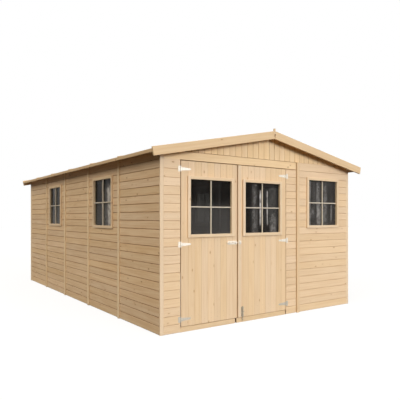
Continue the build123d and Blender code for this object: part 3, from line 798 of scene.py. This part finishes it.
def window_joinery(depth):
    """Casing, stop and liner of one window, drawn round the origin and facing -Y."""
    w, h = GLASS_W / 2, GLASS_H / 2
    parts = []

    def ring(inner_w, inner_h, outer_w, outer_h, y0, y1, ease):
        for s in (-1, 1):
            x0, x1 = sorted((s * inner_w, s * outer_w))
            parts.append(timber((x0, y0, -outer_h), (x1, y1, outer_h), 2, ease))
            z0, z1 = sorted((s * inner_h, s * outer_h))
            parts.append(timber((-inner_w, y0, z0), (inner_w, y1, z1), 0, ease))

    ring(w, h, CASING_W / 2, CASING_H / 2, -CASING_T, 0, CASING_EASE)
    ring(w, h, LINER_W / 2, LINER_H / 2, 0, PANE_IN, LINER_EASE)
    ring(w + REBATE, h + REBATE, LINER_W / 2, LINER_H / 2, PANE_IN, depth, LINER_EASE)
    return joined("window_unit", parts)


def glazing_bars(thick):
    """An upright bar and two level halves, before the pane and behind it."""
    w, h, half = GLASS_W / 2, GLASS_H / 2, BAR_W / 2
    behind = PANE_IN + PANE_T
    parts = []
    for y0, y1 in ((PANE_IN - thick, PANE_IN - PANE_CLEAR), (behind + PANE_CLEAR, behind + BAR_BACK_T)):
        parts.append(timber((-half, y0, -h), (half, y1, h), 2, TRIM_EASE))
        for s in (-1, 1):
            x0, x1 = sorted((s * half, s * w))
            parts.append(timber((x0, y0, -half), (x1, y1, half), 0, TRIM_EASE))
    return joined("bar_unit", parts)


unit, door_unit = window_joinery(WALL_T), window_joinery(BOARD_T + LEDGE_T)
bars, side_bars = glazing_bars(BAR_T), glazing_bars(SIDE_BAR_T)
places = [((FRONT_WINDOW[0], FACE, FRONT_WINDOW[1]), 0.0)]
for y in SIDE_WINDOWS_Y:
    places += [((-HALF_W, y, SIDE_WINDOW_Z), -math.pi / 2), ((HALF_W, y, SIDE_WINDOW_Z), math.pi / 2)]
units = [copied(unit, *p) for p in places]
fit("wall_window_joinery", units, trim_wood, "planed_trim", "shed", "wall_window_frames")
crosses = [copied(bars, *places[0])] + [copied(side_bars, *p) for p in places[1:]]
fit("wall_window_bars", crosses, bar_wood, "planed_trim", "shed")
for side, (x, z) in (("left", LEFT_DOOR_WINDOW), ("right", RIGHT_DOOR_WINDOW)):
    body = side + "_door"
    one = copied(door_unit, (x, FACE, z))
    fit(body + "_joinery", [one], trim_wood, "planed_trim", body, body + "_window_frame")
    fit(body + "_bars", [copied(bars, (x, FACE, z))], bar_wood, "planed_trim", body)
for o in (unit, door_unit, bars, side_bars):
    bpy.data.objects.remove(o)


# Doors

LEDGE_HALF_H, LEDGE_IN, LEDGE_EASE = 0.046, 0.035, 0.003
BRACE_IN, BRACE_W = 0.060, 0.080


def door(side, x0, x1, a, b, window):
    """Upright boards, split where the window goes through, on ledges with a brace."""
    body = side + "_door"
    hole_z = (window[1] - HOLE_H / 2, window[1] + HOLE_H / 2)
    wide = (b - a) / DOOR_BOARDS

    def upright(u0, u1, z0, z1, count=1):
        low, high = (u0, FACE, z0), (u1, FACE + BOARD_T, z1)
        return matchboards(low, high, 2, (u1 - u0, 0, 0), count, [(1, FACE, 1)], DOOR_CUTS)

    boards = [upright(x0, a, DOOR_Z0, DOOR_Z1), upright(b, x1, DOOR_Z0, DOOR_Z1)]
    boards.append(upright(a, a + wide, DOOR_Z0, hole_z[0], DOOR_BOARDS))
    boards.append(upright(a, a + wide, hole_z[1], DOOR_Z1, DOOR_BOARDS))
    fit(body + "_planks", boards, door_wood, "boards", body, body + "_boards")
    y0, y1 = FACE + BOARD_T, FACE + BOARD_T + LEDGE_T
    ledges = []
    for z in HINGE_Z:
        low = (x0 + LEDGE_IN, y0, z - LEDGE_HALF_H)
        ledges.append(timber(low, (x1 - LEDGE_IN, y1, z + LEDGE_HALF_H), 0, LEDGE_EASE))
    fit(body + "_ledge_timbers", ledges, frame_wood, "sawn_frame", body, body + "_ledges")

    # the brace rises from the hinges to the free edge: an upright whose top is slid over
    z0, z1 = HINGE_Z[0] + LEDGE_HALF_H, HINGE_Z[1] - LEDGE_HALF_H
    foot, top = x0 + BRACE_IN, x1 - BRACE_IN - BRACE_W
    if side == "right":
        foot, top = top, foot
    brace = cube((foot, y0, z0), (foot + BRACE_W, y1, z1))
    pick(brace, "FACE", lambda *corners: all(abs(c.z - z1) < 1e-6 for c in corners))
    bpy.ops.transform.translate(value=(top - foot, 0, 0))
    bpy.ops.object.mode_set(mode="OBJECT")
    soft = brace.modifiers.new("ease", "BEVEL")
    soft.width = TRIM_EASE
    soft.segments = 2
    apply_modifiers(brace)
    mark(brace, Vector((top - foot, 0, z1 - z0)).normalized())
    fit(body + "_brace_timber", [brace], frame_wood, "sawn_frame", body, body + "_brace")


door("left", *LEFT_DOOR, *LEFT_BOARDS, LEFT_DOOR_WINDOW)
door("right", *RIGHT_DOOR, *RIGHT_BOARDS, RIGHT_DOOR_WINDOW)
low = (RIGHT_DOOR[0], FACE - STRIP_T, DOOR_Z0)
strip = timber(low, (RIGHT_DOOR[0] + STRIP_W, FACE, DOOR_Z1), 2, TRIM_EASE)
fit("meeting_batten", [strip], trim_wood, "planed_trim", "right_door", "meeting_strip")

# The ironwork and glass keep their CAD shape
for name in ("jamb_hinge_plates", "left_door_hinge_straps", "right_door_hinge_straps", "door_latch",
             "latch_keeper"):
    dress(nodes[name], bright_zinc)
dress(nodes["foot_bolt"], dull_zinc)
for name in ("wall_window_glass", "left_door_glass", "right_door_glass"):
    dress(nodes[name], window_glass)


# Screws and nails. Their places are measured from the hinges' pins, the latch, the bolt and the joints

HEAD_SUNK = 0.001
SCREW_R, SCREW_H, SCREW_SIDES = 0.0036, 0.0009, 14
SLOT_L, SLOT_W, SLOT_FLOOR, SLOT_OUT = 0.0058, 0.0009, 0.0008, 0.01
HINGE_T, LATCH_T = 0.0025, 0.002
PLATE_SCREW_X, PLATE_SCREW_Z = 0.018, 0.021
STRAP_SCREWS_X = (0.030, 0.068, 0.107)
LATCH_X, LATCH_Z = LEFT_DOOR[1] - 0.008, 0.917
LATCH_SCREWS_X, LATCH_SCREW_Z = (0.014, 0.106), 0.0145
KEEPER_X, KEEPER_SCREW_Z = RIGHT_DOOR[0] + 0.023, 0.0152
BOLT_X, BOLT_SCREW_X, BOLT_SCREWS_Z = -0.425, 0.0145, (0.080, 0.160)
NAIL_R, NAIL_H, NAIL_SIDES = 0.0026, 0.0005, 10
STRIP_NAIL_Z, STRIP_NAIL_STEP, STRIP_NAILS = 0.12, 0.40, 5
NAIL_FROM_JOINT = 0.029
SIDE_NAILS_Y = [-2.452] + [y + d for y in JOINTS_Y for d in (-NAIL_FROM_JOINT, NAIL_FROM_JOINT)] + [2.450]
FRONT_NAILS_X = (-1.440, -1.290, 0.330, 0.445, 0.535, 1.440)
BACK_NAILS_X = (-1.440, -0.520, -0.458, 0.458, 0.520, 1.440)
BARGE_NAILS_X = [0.10 + 0.37 * k for k in range(5)]
BARGE_NAIL_DROPS = (0.025, 0.067)
LEDGE_NAIL_Z = 0.028


def round_head(radius, height, sides):
    """A fastener's head that stands on y=0 and faces -Y, drawn in at its rim."""
    bpy.ops.object.select_all(action="DESELECT")
    bpy.ops.mesh.primitive_cylinder_add(vertices=sides, radius=radius, depth=height + HEAD_SUNK)
    o = bpy.context.object
    o.rotation_euler = (math.pi / 2, 0, 0)
    o.location = (0, (HEAD_SUNK - height) / 2, 0)
    settle(o)
    pick(o, "FACE", lambda *corners: all(abs(c.y + height) < 1e-6 for c in corners))
    bpy.ops.mesh.inset(thickness=radius * 0.3)
    bpy.ops.transform.translate(value=(0, -height * 0.5, 0))
    bpy.ops.object.mode_set(mode="OBJECT")
    return o


def screw():
    """A round head with a slot cut into it."""
    o = round_head(SCREW_R, SCREW_H, SCREW_SIDES)
    slot = cube((-SLOT_L / 2, -SLOT_OUT, -SLOT_W / 2), (SLOT_L / 2, -SLOT_FLOOR, SLOT_W / 2))
    cut = o.modifiers.new("slot", "BOOLEAN")
    cut.operation = "DIFFERENCE"
    cut.object = slot
    apply_modifiers(o)
    bpy.data.objects.remove(slot)
    return o


one_screw = screw()


def screws(name, places, body, metal, slot):
    """Screws at (x, y, z), the slot of each turned its own way."""
    pieces = []
    for x, y, z in places:
        c = copied(one_screw)
        c.rotation_euler = (0, chance.random() * math.pi, 0)
        c.location = (x, y, z)
        pieces.append(settle(c))
    return fit(name, pieces, metal, slot, body)


plate_places, strap_places = [], {}
for body, pivot, way in (("left_door", LEFT_PIVOT_X, 1), ("right_door", RIGHT_PIVOT_X, -1)):
    for z in HINGE_Z:
        x = pivot - way * PLATE_SCREW_X
        plate_places += [(x, FACE - HINGE_T, z + dz) for dz in (-PLATE_SCREW_Z, PLATE_SCREW_Z)]
    strap_places[body] = [(pivot + way * dx, FACE - HINGE_T, z) for z in HINGE_Z for dx in STRAP_SCREWS_X]
screws("hinge_plate_screws", plate_places, "shed", bright_zinc, "zinc")
latch_places = [(LATCH_X - dx, FACE - LATCH_T, LATCH_Z + dz)
                for dx in LATCH_SCREWS_X for dz in (-LATCH_SCREW_Z, LATCH_SCREW_Z)]
screws("left_door_screws", strap_places["left_door"] + latch_places, "left_door", bright_zinc, "zinc")
keeper_places = [(KEEPER_X, FACE - STRIP_T - LATCH_T, LATCH_Z + dz)
                 for dz in (-KEEPER_SCREW_Z, KEEPER_SCREW_Z)]
screws("right_door_screws", strap_places["right_door"] + keeper_places, "right_door", bright_zinc, "zinc")
bolt_places = [(BOLT_X + dx, FACE - LATCH_T, z)
               for z in BOLT_SCREWS_Z for dx in (-BOLT_SCREW_X, BOLT_SCREW_X)]
screws("foot_bolt_screws", bolt_places, "right_door", dull_zinc, "dull_zinc")
bpy.data.objects.remove(one_screw)

one_nail = round_head(NAIL_R, NAIL_H, NAIL_SIDES)


def nail_column(first, step, count):
    """Nails one over another, drawn on y=0 and facing -Y."""
    o = copied(one_nail, (0, 0, first))
    rows = o.modifiers.new("rows", "ARRAY")
    rows.count = count
    rows.use_relative_offset = False
    rows.use_constant_offset = True
    rows.constant_offset_displace = (0, 0, step)
    apply_modifiers(o)
    return o


board_column = nail_column(COURSE / 2, COURSE, FULL_COURSES + 1)
strip_column = nail_column(STRIP_NAIL_Z, STRIP_NAIL_STEP, STRIP_NAILS)
nails = []
for x, turn in ((-HALF_W, -math.pi / 2), (HALF_W, math.pi / 2)):
    for y in SIDE_NAILS_Y:
        nails.append(copied(board_column, (x, y, 0), turn))
    for y in JOINTS_Y:
        nails.append(copied(strip_column, (x + math.copysign(STRIP_T, x), y, 0), turn))
for x in FRONT_NAILS_X:
    nails.append(copied(board_column, (x, FACE, 0)))
nails.append(copied(strip_column, (FRONT_JOINT_X, FACE - FRONT_STRIP_T, 0)))
for x in BACK_NAILS_X:
    nails.append(copied(board_column, (x, HALF_L, 0), math.pi))
for x in (-BACK_JOINT_X, BACK_JOINT_X):
    nails.append(copied(strip_column, (x, HALF_L + STRIP_T, 0), math.pi))
for way in (-1, 1):
    for x in BARGE_NAILS_X:
        for drop in BARGE_NAIL_DROPS:
            z = RIDGE_Z + BARGE_RISE - SLOPE * x - drop
            nails.append(copied(one_nail, (way * x, ROOF_FRONT - BARGE_T, z)))
            nails.append(copied(one_nail, (way * x, ROOF_BACK + BARGE_T, z), math.pi))
fit("wall_nails", nails, nail_zinc, "dull_zinc", "shed")
for side, (a, b) in (("left", LEFT_BOARDS), ("right", RIGHT_BOARDS)):
    nails = []
    for k in range(DOOR_BOARDS):
        x = a + (b - a) / DOOR_BOARDS * (k + 0.5)
        levels = [z + dz for z in HINGE_Z for dz in (-LEDGE_NAIL_Z, LEDGE_NAIL_Z)]
        nails += [copied(one_nail, (x, FACE, z)) for z in levels]
    fit(side + "_door_nails", nails, nail_zinc, "dull_zinc", side + "_door")
for o in (one_nail, board_column, strip_column):
    bpy.data.objects.remove(o)


# Floor, light and camera. The camera's focal length and shift are in pixels of the photograph

FLOOR_SIZE, FLOOR_Z = 80.0, -0.001
FRAME_PX, FOCAL_PX, SHIFT_X_PX, SHIFT_Y_PX = 400, 448.679, 0.278, 17.439
SENSOR_W = 36.0
CAMERA_PLACE, CAMERA_TURN = (-3.7791, -6.4501 + SHIFT_Y, 1.2029), -34.8738

bpy.ops.object.select_all(action="DESELECT")
bpy.ops.mesh.primitive_plane_add(size=FLOOR_SIZE, location=(0, 0, FLOOR_Z))
floor = settle(bpy.context.object)
floor.name = "studio_floor"


def seen(tree):
    """1 on rays that show the background: straight to the camera, or by way of metal or glass."""
    rays = tree.node("LightPath")
    total = rays.other("Is Camera Ray") + rays.other("Is Glossy Ray") + rays.other("Is Transmission Ray")
    return total.math("MINIMUM", 1.0)


material = bpy.data.materials.new("pale_floor")
material.use_nodes = True
tree = Sock(material.node_tree)
material.node_tree.nodes.clear()
shadowed = tree.node("BsdfDiffuse", (), {"Color": (0.9, 0.9, 0.9, 1)})
glow = tree.node("Emission", (), {"Color": (1, 1, 1, 1), "Strength": 1.08})
shown = tree.node("MixShader", (), {0: 0.82, 1: shadowed, 2: glow})
ground = tree.node("BsdfDiffuse", (), {"Color": (0.05, 0.042, 0.03, 1)})
both = tree.node("MixShader", (), {0: seen(tree), 1: ground, 2: shown})
tree.node("OutputMaterial", (), {"Surface": both})
dress(floor, material)

# The sky is bright overhead and weak near the ground
world = bpy.data.worlds.new("studio")
bpy.context.scene.world = world
world.use_nodes = True
tree = Sock(world.node_tree)
world.node_tree.nodes.clear()
height = tree.node("SeparateXYZ", (), {0: tree.node("TexCoord", out=0)}).other(2)
low_sky = tree.node("Background", (), {"Color": (1.0, 0.87, 0.66, 1), "Strength": 0.04})
high_sky = tree.node("Background", (), {"Color": (1.0, 0.93, 0.81, 1), "Strength": 0.85})
sky = tree.node("MixShader", (), {0: height.math("MAXIMUM", 0.0), 1: low_sky, 2: high_sky})
white = tree.node("Background", (), {"Color": (1, 1, 1, 1), "Strength": 1.0})
both = tree.node("MixShader", (), {0: seen(tree), 1: sky, 2: white})
tree.node("OutputWorld", (), {"Surface": both})


def soft_sun(name, strength, spread, colour, towards):
    """Light from the side that towards points to, as wide as spread in degrees."""
    bpy.ops.object.light_add(type="SUN")
    o = bpy.context.object
    o.name = name
    o.data.energy = strength
    o.data.angle = math.radians(spread)
    o.data.color = colour
    o.rotation_euler = Vector(towards).to_track_quat("Z", "Y").to_euler()


soft_sun("front_light", 1.93, 24, (1.0, 1.005, 1.02), (0.20, -0.95, 0.23))
soft_sun("side_light", 1.10, 32, (1.0, 0.93, 0.80), (-0.88, -0.24, 0.56))
soft_sun("corner_light", 0.27, 28, (1.0, 0.96, 0.88), (-0.45, -0.88, 0.35))

level_turn = (math.radians(90), 0, math.radians(CAMERA_TURN))
bpy.ops.object.camera_add(location=CAMERA_PLACE, rotation=level_turn)
camera = bpy.context.object
camera.data.sensor_width = SENSOR_W
camera.data.lens = FOCAL_PX / FRAME_PX * SENSOR_W
camera.data.shift_x = SHIFT_X_PX / FRAME_PX
camera.data.shift_y = SHIFT_Y_PX / FRAME_PX
bpy.context.scene.camera = camera
bpy.context.scene.view_settings.view_transform = "Standard"
